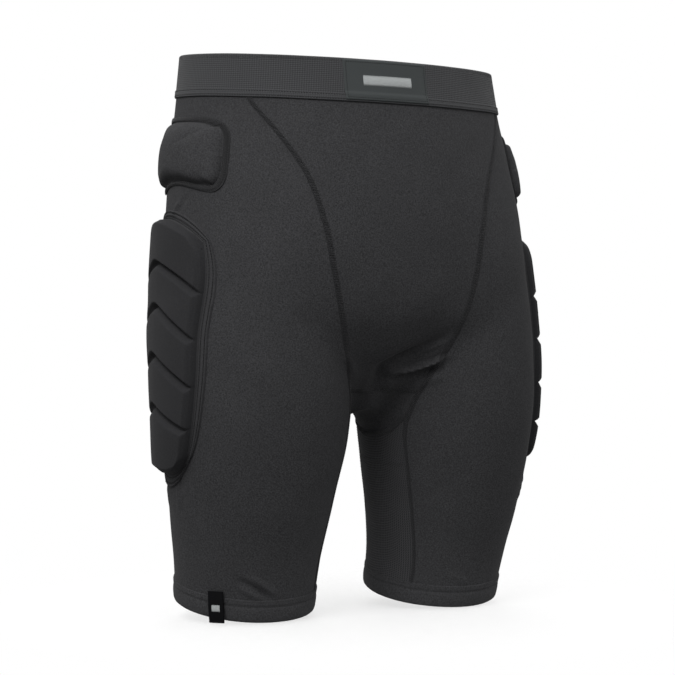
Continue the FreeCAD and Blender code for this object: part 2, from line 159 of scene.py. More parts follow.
def melt(a, b):
    """The nearer of two distances, blended where they are alike."""
    h = np.clip(0.5 + 0.5 * (b - a) / MELT, 0, 1)
    return b * (1 - h) + a * h - MELT * h * (1 - h)


def form(points):
    """Below zero inside the body, zero on the cloth's outer face."""
    x, y, z = points[..., X], points[..., Y], points[..., Z]
    centre, width, front, back = (at(curve, z) for curve in TRUNK_CURVES)
    trunk = np.maximum(egg(x, y - centre, width, width, front, back), TRUNK_FLOOR - z)
    cx, cy, outer, inner, fore, aft = (at(curve, z) for curve in LEG_CURVES)
    left = egg(x - cx, y - cy, outer, inner, fore, aft)
    right = egg(-x - cx, y - cy, outer, inner, fore, aft)
    return melt(melt(left, right), trunk)


def unit(vectors):
    return vectors / np.maximum(np.linalg.norm(vectors, axis=-1, keepdims=True), 1e-9)


def form_normal(points, step=0.5):
    slopes = []
    for axis in np.eye(3) * step:
        slopes.append(form(points + axis) - form(points - axis))
    return unit(np.stack(slopes, -1))


def cast(start, direction, rounds=26):
    """Where rays from inside the body come out."""
    start, direction = np.broadcast_arrays(start, direction)
    t = np.zeros(start.shape[:-1])
    for _ in range(rounds):
        t = t - 0.9 * form(start + direction * t[..., None])
    return start + direction * t[..., None]


def stacked(*parts):
    return np.stack(np.broadcast_arrays(*parts), -1)


# ---------------------------------------------------------------- places on the form (wearer's left half)
def leg_point(z0, angle):
    """At an angle round the leg (0 inner side, 90 front, 180 outside) in the cloth's tilted row z0."""
    slope = at(SLOPE_CURVE, z0)
    cx, cy = at(LEG_CURVES[0], z0), at(LEG_CURVES[1], z0)
    c, s = np.cos(np.radians(angle)), np.sin(np.radians(angle))
    return cast(stacked(cx, cy, z0 + slope * cy), stacked(-c, -s, -slope * s))


def trunk_point(z0, x, facing):
    """On the front (facing -1) or the back (+1) of the trunk at a given x."""
    slope, cy = at(SLOPE_CURVE, z0), at(LEG_CURVES[1], z0)
    return cast(stacked(x, cy, z0 + slope * cy), stacked(0.0, facing, slope * facing))


def waist_point(z0, angle):
    """At an angle round the waist (0 wearer's left, 90 back) in the row z0."""
    slope = at(SLOPE_CURVE, z0)
    c, s = np.cos(np.radians(angle)), np.sin(np.radians(angle))
    return cast(stacked(0.0, 0.0, z0), stacked(c, s, slope * s))


def seam_angle(z0):
    return at(SEAM_CURVE, z0)


def mirrored(place, sign):
    """The same places on the wearer's left (sign 1) or right (-1)."""
    return lambda *spot: place(*spot) * (sign, 1, 1)


def degrees_for(length, z0, angle):
    """Degrees round the leg for a short length along its surface."""
    return 2 * length / np.linalg.norm(leg_point(z0, angle + 1) - leg_point(z0, angle - 1), axis=-1)


def gusset_z(angle):
    """Height of the gusset's lower edge at an angle round the leg."""
    rise = FRONT_RISE_Z - GUSSET_LOW_Z
    return GUSSET_LOW_Z + rise * (np.abs(angle) / GUSSET_ANGLE) ** GUSSET_CURVE


def spread(low, high, spacing):
    """Evenly spaced values from low to high, about a spacing apart."""
    return np.linspace(low, high, max(int(round(abs(high - low) / spacing)), 1) + 1)


def grid(rows, columns):
    return np.meshgrid(rows, columns, indexing="ij")


def smooth(t):
    t = np.clip(t, 0, 1)
    return t * t * (3 - 2 * t)


# ---------------------------------------------------------------- folds of the cloth
# Each fold: path of (side, row height, angle round the leg), half width, height.  Side -1 is the wearer's
# right and +1 the left.
FOLDS = (
    # the crotch: a deep slanting hollow, and under it the cloth of the left leg bunched towards the gusset
    (((1, -247, 62), (1, -264, 46), (1, -273, 37), (-1, -280, 34), (-1, -293, 28), (-1, -306, 20)),
     7.5, -9.5),
    (((1, -253, 62), (1, -264, 48), (1, -272, 40), (-1, -277, 36)), 2.4, 2.6),
    (((1, -262, 62), (1, -271, 50), (1, -277, 39), (-1, -282, 32)), 1.9, -1.6),
    (((1, -267, 60), (1, -273, 51), (1, -279, 40), (-1, -284, 31)), 2.7, 4.2),
    (((1, -277, 54), (1, -282, 45), (1, -286, 36), (1, -291, 29)), 2.6, -4.0),
    (((1, -284, 58), (1, -291, 46), (1, -298, 35)), 3.6, 1.8),
    (((-1, -262, 62), (-1, -276, 50), (-1, -292, 36)), 4.5, 1.5),
    # above the hems
    (((-1, -448, 127), (-1, -457, 110), (-1, -467, 95)), 2.4, -2.3),
    (((-1, -456, 125), (-1, -463, 112), (-1, -467, 102)), 2.0, 1.6),
    (((-1, -444, 121), (-1, -454, 104), (-1, -466, 86)), 2.4, 1.8),
    (((1, -455, 70), (1, -461, 80), (1, -467, 90)), 3.0, 1.0),
    # from the lower front corners of the thigh pads
    (((-1, -364, 170), (-1, -376, 164), (-1, -392, 158)), 1.7, 1.2),
    (((-1, -367, 174), (-1, -382, 172), (-1, -398, 169)), 1.7, -1.1),
    (((1, -372, 146), (1, -385, 142), (1, -398, 137)), 2.0, 1.2),
    # between the hip pads and the thigh pads
    (((-1, -131, 172), (-1, -136, 178), (-1, -146, 183)), 2.6, 1.6),
    (((-1, -128, 165), (-1, -133, 172), (-1, -143, 176)), 3.0, -1.0),
    (((1, -130, 168), (1, -137, 174), (1, -148, 178)), 3.0, 1.2),
)
GATHER_ANGLES = (176, 179.5, 183, 186.5, 190, 193.5, 197, 200.5, 204)   # short gathers below each thigh pad
GATHER_Z = (-376, -400)
MESH_LINE_Z = -362.0        # the cross seam of the mesh panel


def ridge(points, path, width, height):
    """Height of a rounded ridge, or of a crease where height is below zero, along a path of points."""
    spans = len(path) - 1
    nearest = np.full(points.shape[:-1], np.inf)
    share = np.zeros(points.shape[:-1])
    for k in range(spans):
        a, along = path[k], path[k + 1] - path[k]
        t = np.clip((points - a) @ along / (along @ along), 0, 1)
        away = np.linalg.norm(points - a - t[..., None] * along, axis=-1)
        closer = away < nearest
        nearest = np.where(closer, away, nearest)
        share = np.where(closer, (k + t) / spans, share)
    ends = smooth(share / 0.3) * smooth((1 - share) / 0.3) * 0.9 + 0.1
    return height * ends * np.exp(-(nearest / width) ** 2)


def fold_paths():
    paths = []
    for route, width, height in FOLDS:
        side, z0, angle = np.array(route, float).T
        paths.append((leg_point(z0, angle) * stacked(side, 1.0, 1.0), width, height))
    for _, side in SIDES:
        for k, angle in enumerate(GATHER_ANGLES):
            route = leg_point(np.array(GATHER_Z, float) - 3 * (k % 2), np.array([angle, angle - 1.5]))
            paths.append((route * (side, 1, 1), 1.3, 1.3 - 0.3 * (k % 3)))
    return paths


FOLD_PATHS = fold_paths()


def folds(points):
    """How far the cloth stands off the form: its folds and a faint unevenness all over."""
    x, y, z = points[..., X], points[..., Y], points[..., Z]
    height = 0.22 * np.sin(x / 9.1 + 1.3 * np.sin(z / 23.0)) * np.sin(z / 13.7 + y / 17.0)
    height = height + 0.25 * np.sin(y / 11.3 - z / 31.0) * np.sin(x / 27.0 + z / 19.0)
    for path, width, top in FOLD_PATHS:
        height = height + ridge(points, path, width, top)
    return height


def draped(points):
    """Points on the form, moved out by the cloth's folds, with the form's normals there."""
    normals = form_normal(points)
    return points + normals * folds(points)[..., None], normals


def lifted(surface, height):
    points, normals = surface
    return points + normals * np.broadcast_to(height, points.shape[:-1])[..., None]


# ---------------------------------------------------------------- meshes from grids of points
def grid_faces(rows, columns, wrap_rows=False, wrap_columns=False):
    i, j = grid(np.arange(rows - (not wrap_rows)), np.arange(columns - (not wrap_columns)))
    i, j = i.ravel(), j.ravel()
    here, below, beside = i * columns, (i + 1) % rows * columns, (j + 1) % columns
    return np.stack([here + j, here + beside, below + beside, below + j], -1)


def closed_faces(rows, columns):
    """Faces of a closed sheet: a grid of points, the same grid again under it, and the rim between them."""
    count = rows * columns
    index = np.arange(count).reshape(rows, columns)
    border = np.concatenate([index[0, :-1], index[:-1, -1], index[-1, :0:-1], index[:0:-1, 0]])
    following = np.roll(border, -1)
    rim = np.stack([border, border + count, following + count, following], -1)
    quads = grid_faces(rows, columns)
    return np.concatenate([quads, quads[:, ::-1] + count, rim])


def volume(points, faces):
    """Signed volume inside closed faces."""
    total = 0.0
    for corners in faces:
        p = points[corners]
        for k in range(1, corners.shape[1] - 1):
            total += np.einsum("ij,ij->", p[:, 0], np.cross(p[:, k], p[:, k + 1]))
    return total


def make_piece(name, points, faces, material, uv=None, sharp=None):
    """A closed smooth mesh from points in millimetres and arrays of faces, wound outwards."""
    points = points.reshape(-1, 3)
    if volume(points, faces) < 0:
        faces = [corners[:, ::-1] for corners in faces]
    mesh = bpy.data.meshes.new(name)
    loops = np.concatenate([corners.ravel() for corners in faces]).astype(np.int32)
    sizes = np.concatenate([np.full(len(corners), corners.shape[1]) for corners in faces])
    starts = np.concatenate([[0], np.cumsum(sizes)[:-1]]).astype(np.int32)
    mesh.vertices.add(len(points))
    mesh.vertices.foreach_set("co", (points * MM).astype(np.float32).ravel())
    mesh.loops.add(len(loops))
    mesh.loops.foreach_set("vertex_index", loops)
    mesh.polygons.add(len(sizes))
    mesh.polygons.foreach_set("loop_start", starts)
    mesh.polygons.foreach_set("use_smooth", np.ones(len(sizes), bool))
    if uv is not None:
        layer = mesh.uv_layers.new(name="cloth")
        corners_uv = uv.reshape(-1, 2)[loops] * MM
        across = uv[..., 0].max() * MM
        for size in set(sizes.tolist()):
            own = np.repeat(sizes == size, sizes)
            u = corners_uv[own, 0].reshape(-1, size)
            torn = (u.max(1) - u.min(1)) > 0.5 * max(across, 1e-6)
            u[torn] = np.where(u[torn] < 0.5 * across, u[torn] + across, u[torn])
            corners_uv[own, 0] = u.ravel()
        layer.data.foreach_set("uv", corners_uv.astype(np.float32).ravel())
    mesh.update(calc_edges=True)
    mesh.validate()
    if sharp:
        mesh.set_sharp_from_angle(angle=math.radians(sharp))
    mesh.materials.append(material)
    piece = bpy.data.objects.new(name, mesh)
    bpy.context.scene.collection.objects.link(piece)
    return piece


def arc_uv(points):
    """Lengths along the rows and columns of a grid of points, in millimetres, from zero up."""
    across = np.linalg.norm(np.diff(points, axis=1), axis=-1)
    down = np.linalg.norm(np.diff(points, axis=0), axis=-1)
    u = np.concatenate([np.zeros((len(points), 1)), np.cumsum(across, axis=1)], axis=1)
    v = np.concatenate([np.zeros((1, points.shape[1])), np.cumsum(down, axis=0)], axis=0)
    return np.stack([u - u[:, -1:] / 2 + u[:, -1].max() / 2, v], -1)


def make_shell(name, outer, inner, material, sharp=60):
    """A closed sheet between two open grids of points of the same size."""
    points = np.concatenate([outer.reshape(-1, 3), inner.reshape(-1, 3)])
    uv = np.concatenate([arc_uv(outer).reshape(-1, 2)] * 2)[None]
    return make_piece(name, points, [closed_faces(*outer.shape[:2])], material, uv, sharp)


def two_tone(piece, material, where):
    """A second material on the outer faces of a shell whose first corner is marked in a grid."""
    piece.data.materials.append(material)
    index = np.zeros(len(piece.data.polygons), np.int32)
    chosen = where[:-1, :-1].ravel()
    index[:len(chosen)] = chosen
    piece.data.polygons.foreach_set("material_index", index)
    piece.data.update()


def make_ring(name, section, place, count, material):
    """A closed band: a section of (row height, height above the form) carried once round."""
    angles = np.arange(count) * 360.0 / count
    z0, angle = grid(np.array([s[0] for s in section], float), angles)
    base = draped(place(z0, angle))
    points = lifted(base, np.array([s[1] for s in section], float)[:, None])
    uv = arc_uv(points)
    return make_piece(name, points, [grid_faces(len(section), count, True, True)], material, uv)


THREAD_SIDES = 6


def make_threads(name, centres, normals, radius, material):
    """Short round threads as one mesh: centres and normals are (threads, points, 3)."""
    count, length = centres.shape[:2]
    along = unit(np.gradient(centres, axis=1))
    side = unit(np.cross(along, normals))
    up = np.cross(side, along)
    taper = np.sqrt(np.sin(np.linspace(0.25, math.pi - 0.25, length)))
    turn = np.arange(THREAD_SIDES) * 2 * math.pi / THREAD_SIDES
    round_it = (np.cos(turn)[:, None] * side[:, :, None] + np.sin(turn)[:, None] * up[:, :, None])
    points = centres[:, :, None] + radius * taper[None, :, None, None] * round_it
    one = grid_faces(length, THREAD_SIDES, wrap_columns=True)
    starts = np.arange(count) * length * THREAD_SIDES
    walls = (one[None] + starts[:, None, None]).reshape(-1, 4)
    first = starts[:, None] + np.arange(THREAD_SIDES)[None, ::-1]
    last = starts[:, None] + (length - 1) * THREAD_SIDES + np.arange(THREAD_SIDES)[None]
    caps = np.concatenate([first, last])
    return make_piece(name, points, [walls, caps], material)


def resampled(path, places):
    """Points of a path at given lengths along it."""
    steps = np.linalg.norm(np.diff(path[..., :3], axis=0), axis=-1)
    lengths = np.concatenate([[0], np.cumsum(steps)])
    return np.stack([np.interp(places, lengths, path[:, k]) for k in range(path.shape[1])], -1)


def path_length(path):
    return np.linalg.norm(np.diff(path[..., :3], axis=0), axis=-1).sum()


def stitch_row(surface, height, pitch, fill=0.74, sink=0.35, points=5):
    """Centres and normals of running stitches along a draped path, their ends sunk into the cloth."""
    path = np.concatenate([lifted(surface, height), surface[1]], -1)
    length = path_length(path)
    count = max(int(length / pitch), 1)
    t = np.linspace(0, 1, points)
    places = (np.arange(count)[:, None] + fill * t[None]) * length / count
    both = resampled(path, places)
    centres, normals = both[..., :3], unit(both[..., 3:])
    return centres + normals * (sink * (np.sin(math.pi * t) - 1))[None, :, None], normals


def crossing_row(surface_a, surface_b, height, pitch, points=5):
    """Threads that cross from one draped path to the other and back, as a looper thread does."""
    path_a, path_b = (np.concatenate([lifted(s, height), s[1]], -1) for s in (surface_a, surface_b))
    length_a, length_b = path_length(path_a), path_length(path_b)
    count = max(int(length_a / pitch), 1)
    order = np.arange(count)
    a = resampled(path_a, (order + 0.1) / count * length_a)
    b = resampled(path_b, (order + 0.6) / count * length_b)
    t = np.linspace(0, 1, points)[None, :, None]
    both = a[:, None] * (1 - t) + b[:, None] * t
    return both[..., :3] + unit(both[..., 3:]) * 0.12 * np.sin(math.pi * t), unit(both[..., 3:])


def joined(*rows):
    return np.concatenate([r[0] for r in rows]), np.concatenate([r[1] for r in rows])


# ---------------------------------------------------------------- materials
class Nodes:
    """Short ways to add nodes to a tree."""

    def __init__(self, tree):
        self.tree = tree

    def node(self, kind, inputs=(), **settings):
        """A node; an input is a value, or the output that it is linked to."""
        made = self.tree.nodes.new("ShaderNode" + kind)
        for key, value in settings.items():
            setattr(made, key, value)
        for key, value in dict(inputs).items():
            if isinstance(value, bpy.types.NodeSocket):
                self.tree.links.new(value, made.inputs[key])
            else:
                made.inputs[key].default_value = value
        return made

    def math(self, operation, a, b=0.0):
        return self.node("Math", {0: a, 1: b}, operation=operation).outputs[0]

    def plus(self, a, b):
        return self.math("ADD", a, b)

    def times(self, a, b):
        return self.math("MULTIPLY", a, b)


class Finish(Nodes):
    """A procedural material on one principled shader."""

    def __init__(self, name, roughness=0.9, sheen=0.0, specular=0.15):
        self.material = bpy.data.materials.new(name)
        self.material.use_nodes = True
        super().__init__(self.material.node_tree)
        self.shader = self.tree.nodes["Principled BSDF"]
        for key, value in (("Roughness", roughness), ("Sheen Weight", sheen), ("Sheen Roughness", 0.5),
                           ("Specular IOR Level", specular)):
            self.shader.inputs[key].default_value = value

    def cloth_uv(self):
        """Lengths across and down the cloth, in metres."""
        split = self.node("SeparateXYZ", {0: self.node("UVMap", uv_map="cloth").outputs[0]})
        return split.outputs[0], split.outputs[1]

    def place(self):
        return self.node("TexCoord").outputs["Object"]

    def waves(self, length, period, phase=0.0):
        """0 to 1 and back over each period of a length."""
        turns = self.plus(self.times(length, 2 * math.pi / period), phase)
        return self.times(self.plus(self.math("SINE", turns), 1.0), 0.5)

    def noise(self, size, roughness=0.55):
        """Cloudy 0 to 1 values whose features are about a size across."""
        inputs = {"Vector": self.place(), "Scale": 1 / size, "Detail": 2.0, "Roughness": roughness}
        return self.node("TexNoise", inputs).outputs["Fac"]

    def shades(self, value, colour, low, dark, high, light):
        """A colour times dark where a value is low, and times light where it is high."""
        made = self.node("ValToRGB", {0: value})
        for element, place, share in zip(made.color_ramp.elements, (low, high), (dark, light)):
            element.position, element.color = place, (*scaled(colour, share), 1)
        return made.outputs[0]

    def mix(self, share, a, b):
        made = self.node("Mix", data_type="RGBA")
        for key, value in ((0, share), (6, a), (7, b)):
            if isinstance(value, bpy.types.NodeSocket):
                self.tree.links.new(value, made.inputs[key])
            else:
                made.inputs[key].default_value = (*value, 1)
        return made.outputs[2]

    def bump(self, height, distance, strength=0.6):
        return self.node("Bump", {"Height": height, "Distance": distance, "Strength": strength}).outputs[0]

    def finish(self, colour, normal, roughness=None):
        self.tree.links.new(colour, self.shader.inputs["Base Color"])
        self.tree.links.new(normal, self.shader.inputs["Normal"])
        if roughness is not None:
            self.tree.links.new(roughness, self.shader.inputs["Roughness"])
        return self.material


def scaled(colour, share):
    return tuple(c * share for c in colour)


SHELL = (0.0450, 0.0450, 0.0475)
PAD = (0.0275, 0.0275, 0.0295)
BAND = (0.0600, 0.0610, 0.0640)
THREAD = (0.011, 0.011, 0.012)


def knit(name, colour, wale=0.00085, course=0.0011, grain=0.26, sheen=0.03):
    """Jersey: columns of small loops, a mottled yarn and a faint cloudiness."""
    f = Finish(name, roughness=0.92, sheen=sheen)
    u, v = f.cloth_uv()
    lean = f.times(f.waves(u, wale), 2.2)
    loops = f.times(f.waves(u, wale), f.waves(v, course, lean))
    yarn = f.noise(0.0012, 0.7)
    cloud = f.noise(0.028)
    base = f.shades(yarn, colour, 0.32, 1 - 2 * grain, 0.68, 1 + 2 * grain)
    base = f.mix(f.times(loops, 0.35), base, scaled(colour, 1 + grain))
    base = f.mix(f.times(cloud, 0.45), base, scaled(colour, 1 - grain))
    relief = f.bump(f.plus(f.times(loops, 0.7), f.times(yarn, 0.8)), 0.00018, 0.7)
    rough = f.node("MapRange", {0: yarn, 3: 0.86, 4: 0.97}).outputs[0]
    return f.finish(base, relief, rough)


def open_mesh(name, thread, hole_shade, pitch=0.0023):
    """Fine netting: a grid of small holes between threads, the holes painted dark as the shade inside the
    shorts seen through them.
    """
    f = Finish(name, roughness=0.85)
    u, v = f.cloth_uv()
    cell = f.times(f.waves(u, pitch), f.waves(v, pitch))
    knots = f.node("MapRange", {0: cell, 1: 0.16, 2: 0.42, 3: 0.0, 4: 1.0}).outputs[0]
    yarn = f.noise(0.0011, 0.7)
    # the holes' dark colour is painted shade, for the shaded inside seen through the netting
    base = f.mix(f.times(knots, 0.95), thread, hole_shade)
    base = f.mix(f.times(yarn, 0.4), base, scaled(thread, 0.7))
    return f.finish(base, f.bump(f.math("SUBTRACT", f.times(yarn, 0.3), knots), 0.0004, 0.8))


def ribbed_elastic(name, colour, rib=0.0021, pick=0.0017):
    """Woven elastic: upright ribs crossed by fine level picks."""
    f = Finish(name, roughness=0.85, sheen=0.1)
    u, v = f.cloth_uv()
    weave = f.plus(f.times(f.waves(u, rib), 0.6), f.times(f.waves(v, pick), 0.5))
    yarn = f.noise(0.0010, 0.7)
    base = f.shades(weave, colour, 0.1, 0.62, 0.95, 1.25)
    base = f.mix(f.times(yarn, 0.35), base, scaled(colour, 0.8))
    return f.finish(base, f.bump(f.plus(weave, f.times(yarn, 0.3)), 0.0005, 0.7))


def seam_tape(name, colour, pitch=0.0013):
    """The covered face of a flatlock seam: close level threads."""
    f = Finish(name, roughness=0.85, sheen=0.08)
    rows = f.waves(f.cloth_uv()[1], pitch)
    fuzz = f.noise(0.0009, 0.7)
    base = f.shades(rows, colour, 0.15, 0.6, 0.9, 1.35)
    base = f.mix(f.times(fuzz, 0.4), base, scaled(colour, 0.7))
    return f.finish(base, f.bump(f.plus(rows, fuzz), 0.00035, 0.7))


def sewing_thread(name, colour, roughness=0.6):
    """Twisted thread."""
    f = Finish(name, roughness=roughness, sheen=0.15)
    twist = f.noise(0.0004, 0.6)
    return f.finish(f.shades(twist, colour, 0.3, 0.75, 0.7, 1.2), f.bump(twist, 0.0001))


def woven_label(name, colour, pitch=0.0007, sheen=0.05, specular=0.3):
    """Close satin weave of a label or tape, with a slanting twill line."""
    f = Finish(name, roughness=0.75, sheen=sheen, specular=specular)
    u, v = f.cloth_uv()
    twill = f.waves(f.plus(u, v), pitch * 1.6)
    warp = f.waves(u, pitch)
    fibre = f.noise(0.0008, 0.6)
    base = f.shades(f.times(twill, warp), colour, 0.0, 0.8, 0.8, 1.3)
    base = f.mix(f.times(fibre, 0.3), base, scaled(colour, 0.8))
    return f.finish(base, f.bump(f.plus(twill, warp), 0.00018))


def closed_foam(name, colour):
    """Closed-cell foam: a fine cellular skin."""
    f = Finish(name, roughness=0.8)
    cells = f.node("TexVoronoi", {"Vector": f.place(), "Scale": 900.0}).outputs["Distance"]
    return f.finish(f.shades(cells, colour, 0.1, 0.8, 0.7, 1.3), f.bump(cells, 0.0002))


FINISHES = {
    "shell": knit("shell_jersey", SHELL),
    "hem": knit("hem_jersey", scaled(SHELL, 1.02), course=0.0010),
    "pad": knit("pad_jersey", PAD, wale=0.0012, course=0.0009, grain=0.12, sheen=0.05),
    "flange": knit("flange_jersey", scaled(SHELL, 1.05), course=0.0009, grain=0.12),
    "lining": knit("pad_lining", scaled(PAD, 0.9), wale=0.0012, grain=0.12),
    # power mesh: threads, and holes painted dark as shade seen through them
    "mesh": open_mesh("power_mesh", (0.064, 0.064, 0.067), (0.022, 0.022, 0.024)),
    "elastic": ribbed_elastic("waist_elastic", BAND),
    "strip": ribbed_elastic("waist_strip", scaled(BAND, 1.05), rib=0.0016, pick=0.0022),
    "seam": seam_tape("flatlock_seam", (0.029, 0.029, 0.031)),
    "thread": sewing_thread("dark_thread", THREAD),
    "seam_thread": sewing_thread("seam_thread", (0.033, 0.033, 0.035)),
    "label": woven_label("label_weave", (0.052, 0.059, 0.060)),
    "mark": sewing_thread("light_thread", (0.44, 0.46, 0.46), 0.5),
    "tab": woven_label("tab_weave", (0.004, 0.004, 0.005), sheen=0.0, specular=0.1),
    "foam": closed_foam("foam", (0.014, 0.014, 0.015)),
}


def bend_at_hip(piece):
    """Cloth over the hip joint, with its placement baked into its mesh."""
    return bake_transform(piece)


def describe(piece, slot, *nodes):
    """Hides the CAD nodes that a piece stands for; the material slot is not used."""
    if nodes:
        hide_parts(*nodes)
    return piece


def on_pelvis(piece, slot, *nodes):
    return describe(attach(piece, "pelvis"), slot, *nodes)


def cut_flat(piece):
    """Hands back a piece of cloth unchanged."""
    return piece


# ---------------------------------------------------------------- cloth panels
PANEL_TOP = -36.5
PANEL_BOTTOM = HEM_Z + HEM_HEIGHT - 1.5
PANEL_SPACING = 1.9


def cloth_panel(name, points, material):
    base = draped(points)
    return make_shell(name, lifted(base, 0.0), lifted(base, -CLOTH), material)


def make_trunk_panels():
    for name, facing in (("front", -1), ("seat", 1)):
        z = spread(PANEL_TOP, FRONT_RISE_Z, PANEL_SPACING)
        edge = leg_point(z, -facing * seam_angle(z))[:, X]
        share = np.sin(math.pi / 2 * np.linspace(-1, 1, 125))
        points = trunk_point(z[:, None], edge[:, None] * share, facing)
        piece = cloth_panel(name + "_cloth", points, FINISHES["shell"])
        on_pelvis(piece, "shell_cloth", name + "_panel")
        cut_flat(piece)


def make_side_panels(side, sign):
    z = spread(PANEL_TOP, PANEL_BOTTOM, PANEL_SPACING)
    first = seam_angle(z)[:, None]
    angle = first + (360 - 2 * first) * np.linspace(0, 1, 131)
    piece = cloth_panel(side + "_side_cloth", leg_point(z[:, None], angle) * (sign, 1, 1), FINISHES["shell"])
    bend_at_hip(describe(piece, "shell_cloth", side + "_side_panel"))
    cut_flat(piece)


def make_mesh_panels(side, sign):
    corner = GUSSET_ANGLE * MESH_CORNER_SHARE
    across = np.linspace(-1, 1, 53)
    start = gusset_z(corner * across) - 0.3
    z = start + (PANEL_BOTTOM - start) * np.linspace(0, 1, 78)[:, None]
    base = draped(leg_point(z, seam_angle(z) * across) * (sign, 1, 1))
    cross_seam = 0.7 * groove(z - MESH_LINE_Z, 1.1) - 0.5 * groove(z - MESH_LINE_Z + 2.6, 1.0)
    piece = make_shell(side + "_mesh_cloth", lifted(base, cross_seam), lifted(base, -MESH_CLOTH),
                       FINISHES["mesh"])
    bend_at_hip(describe(piece, "mesh_cloth", side + "_inner_mesh_panel"))
    cut_flat(piece)


def reach_cloth(start, direction, rounds=60):
    """Where rays from the gap between the legs meet the cloth."""
    t = np.zeros(direction.shape[:-1])
    for _ in range(rounds):
        t = t + 0.5 * form(start + direction * t[..., None])
    return start + direction * t[..., None]


def make_gusset():
    """A saddle between the legs: fans of rays in planes that turn from front, by down, to back."""
    v = np.linspace(-1, 1, 61)
    angle = -v * (GUSSET_ANGLE - 0.6)
    edge = leg_point(gusset_z(angle) + 0.4, angle)
    lean = np.pi / 2 * v
    way = stacked(0 * v, np.sin(lean), -np.cos(lean))
    start = stacked(0 * v, edge[:, Y], edge[:, Z]) + way * GUSSET_VIEW
    half = np.pi / 2 - np.arctan(GUSSET_VIEW / edge[:, X])
    fan = half[:, None] * np.linspace(-1, 1, 49)
    rays = stacked(np.sin(fan), -way[:, None, Y] * np.cos(fan), -way[:, None, Z] * np.cos(fan))
    piece = cloth_panel("gusset_cloth", reach_cloth(start[:, None] + 0 * rays, rays), FINISHES["shell"])
    on_pelvis(piece, "shell_cloth", "crotch_gusset")
    cut_flat(piece)


# ---------------------------------------------------------------- seams
SEAM_GROOVE = 0.72          # where the stitches' grooves run, from the seam's middle
# Across the seam: place and height
SEAM_SECTION = ((-1, 0.05), (-0.92, 0.42), (-SEAM_GROOVE, 0.30), (-0.5, 0.62), (0, 0.7), (0.5, 0.62),
                (SEAM_GROOVE, 0.30), (0.92, 0.42), (1, 0.05))


def make_flatlock(name, place, count, nodes=(), finish="seam", lift=0.0):
    """A low strip along a seam, two rows of stitches sunk in its grooves and a thread that crosses it.
    place(t, offset) gives points on the form: t runs along the seam, and offset across it in millimetres."""
    t = np.linspace(0, 1, count)[:, None]
    across = np.array([s[0] for s in SEAM_SECTION])[None]
    height = np.array([s[1] for s in SEAM_SECTION])[None]
    base = draped(place(t, across * SEAM_WIDTH / 2))
    strip = make_shell(name, lifted(base, height + lift), lifted(base, lift - 0.2), FINISHES[finish])
    rails = [draped(place(t[:, 0], side * SEAM_GROOVE * SEAM_WIDTH / 2 + 0 * t[:, 0])) for side in (-1, 1)]
    rows = joined(*(stitch_row(rail, lift + 0.5, 2.3) for rail in rails),
                  crossing_row(*rails, lift + 0.72, 1.5))
    threads = make_threads(name + "_threads", *rows, 0.24, FINISHES["seam_thread"])
    return describe(strip, "seam_thread", *nodes), describe(threads, "seam_thread")


def leg_seam(top, bottom, turn):
    """Places along a seam that runs down the leg, at plus or minus the seam's angle."""
    def place(t, offset):
        z = top + (bottom - top) * t
        angle = turn * seam_angle(z)
        narrow = 1 - LEG_SEAM_TAPER * smooth((GUSSET_LOW_Z + 20 - z) / 30)
        return leg_point(z, angle + narrow * offset * degrees_for(1.0, z, angle))
    return place


def make_leg_seams(side, sign):
    for name, turn in ((side + "_front", 1), (side + "_back", -1)):
        run = mirrored(leg_seam(PANEL_TOP - 1.5, PANEL_BOTTOM + 0.5, turn), sign)
        for piece in make_flatlock(name + "_flatlock", run, 230, [name + "_seam"]):
            bend_at_hip(piece)


GUSSET_SEAM_SHARE = 0.76    # the thigh seams stop short of the leg seams


def make_gusset_seams():
    def thigh(t, offset):
        angle = (2 * t - 1) * GUSSET_ANGLE * GUSSET_SEAM_SHARE
        return leg_point(gusset_z(angle) + offset, angle)

    def cross(t, offset):
        return trunk_point(FRONT_RISE_Z + offset, (2 * t - 1) * reach, facing)

    for side, sign in SIDES:
        nodes = [side + "_gusset_thigh_seam"]
        for piece in make_flatlock(side + "_gusset_flatlock", mirrored(thigh, sign), 50, nodes, "shell"):
            bend_at_hip(piece)
    for name, facing in (("gusset_front", -1), ("gusset_back", 1)):
        reach = leg_point(np.array(FRONT_RISE_Z), -facing * GUSSET_ANGLE)[X] - 1.0
        for piece in make_flatlock(name + "_flatlock", cross, 36, [name + "_seam"], "shell"):
            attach(piece, "pelvis")


# ---------------------------------------------------------------- waistband and label
BAND_SECTION = ((-1.4, BAND_OUT), (-0.6, 0.55), (-0.1, 0.0), (0.0, -0.4), (-0.3, -1.0), (-1.2, -1.4),
                (-10, -1.4), (-20, -1.4), (-30, -1.4), (-36.8, -1.4), (-37.8, -1.1), (-38.0, -0.4),
                (-37.8, 0.3), (-37.0, 0.75), *((z, BAND_OUT) for z in (-35, *range(-32, 0, 4))))
STRIP_LOW = BAND_OUT - 0.2
STRIP_SECTION = ((-31.0, STRIP_LOW), (-31.2, 1.25), (-31.8, 1.5), (-32.5, 1.2), (-33.2, 1.5), (-34.5, 1.6),
                 (-35.8, 1.5), (-36.5, 1.2), (-37.2, 1.5), (-37.9, 1.2), (-38.1, STRIP_LOW))


def make_waistband():
    band = make_ring("waistband", BAND_SECTION, waist_point, 440, FINISHES["elastic"])
    on_pelvis(band, "waist_elastic", "waistband_elastic")
    strip = make_ring("waistband_strip", STRIP_SECTION, waist_point, 440, FINISHES["strip"])
    on_pelvis(strip, "waist_elastic", "waistband_coverstitch")
    angles = np.linspace(0, 360, 500)
    rows = [stitch_row(draped(waist_point(z + 0 * angles, angles)), 1.42, 2.4) for z in (-32.5, -36.5)]
    threads = make_threads("waistband_threads", *joined(*rows), 0.34, FINISHES["thread"])
    on_pelvis(threads, "coverstitch")
    cut_flat(band)


def label_lift(z):
    """The label lies on the band and climbs over the coverstitched strip."""
    return 1.0 + 0.9 * smooth((-28.5 - z) / 3.5)


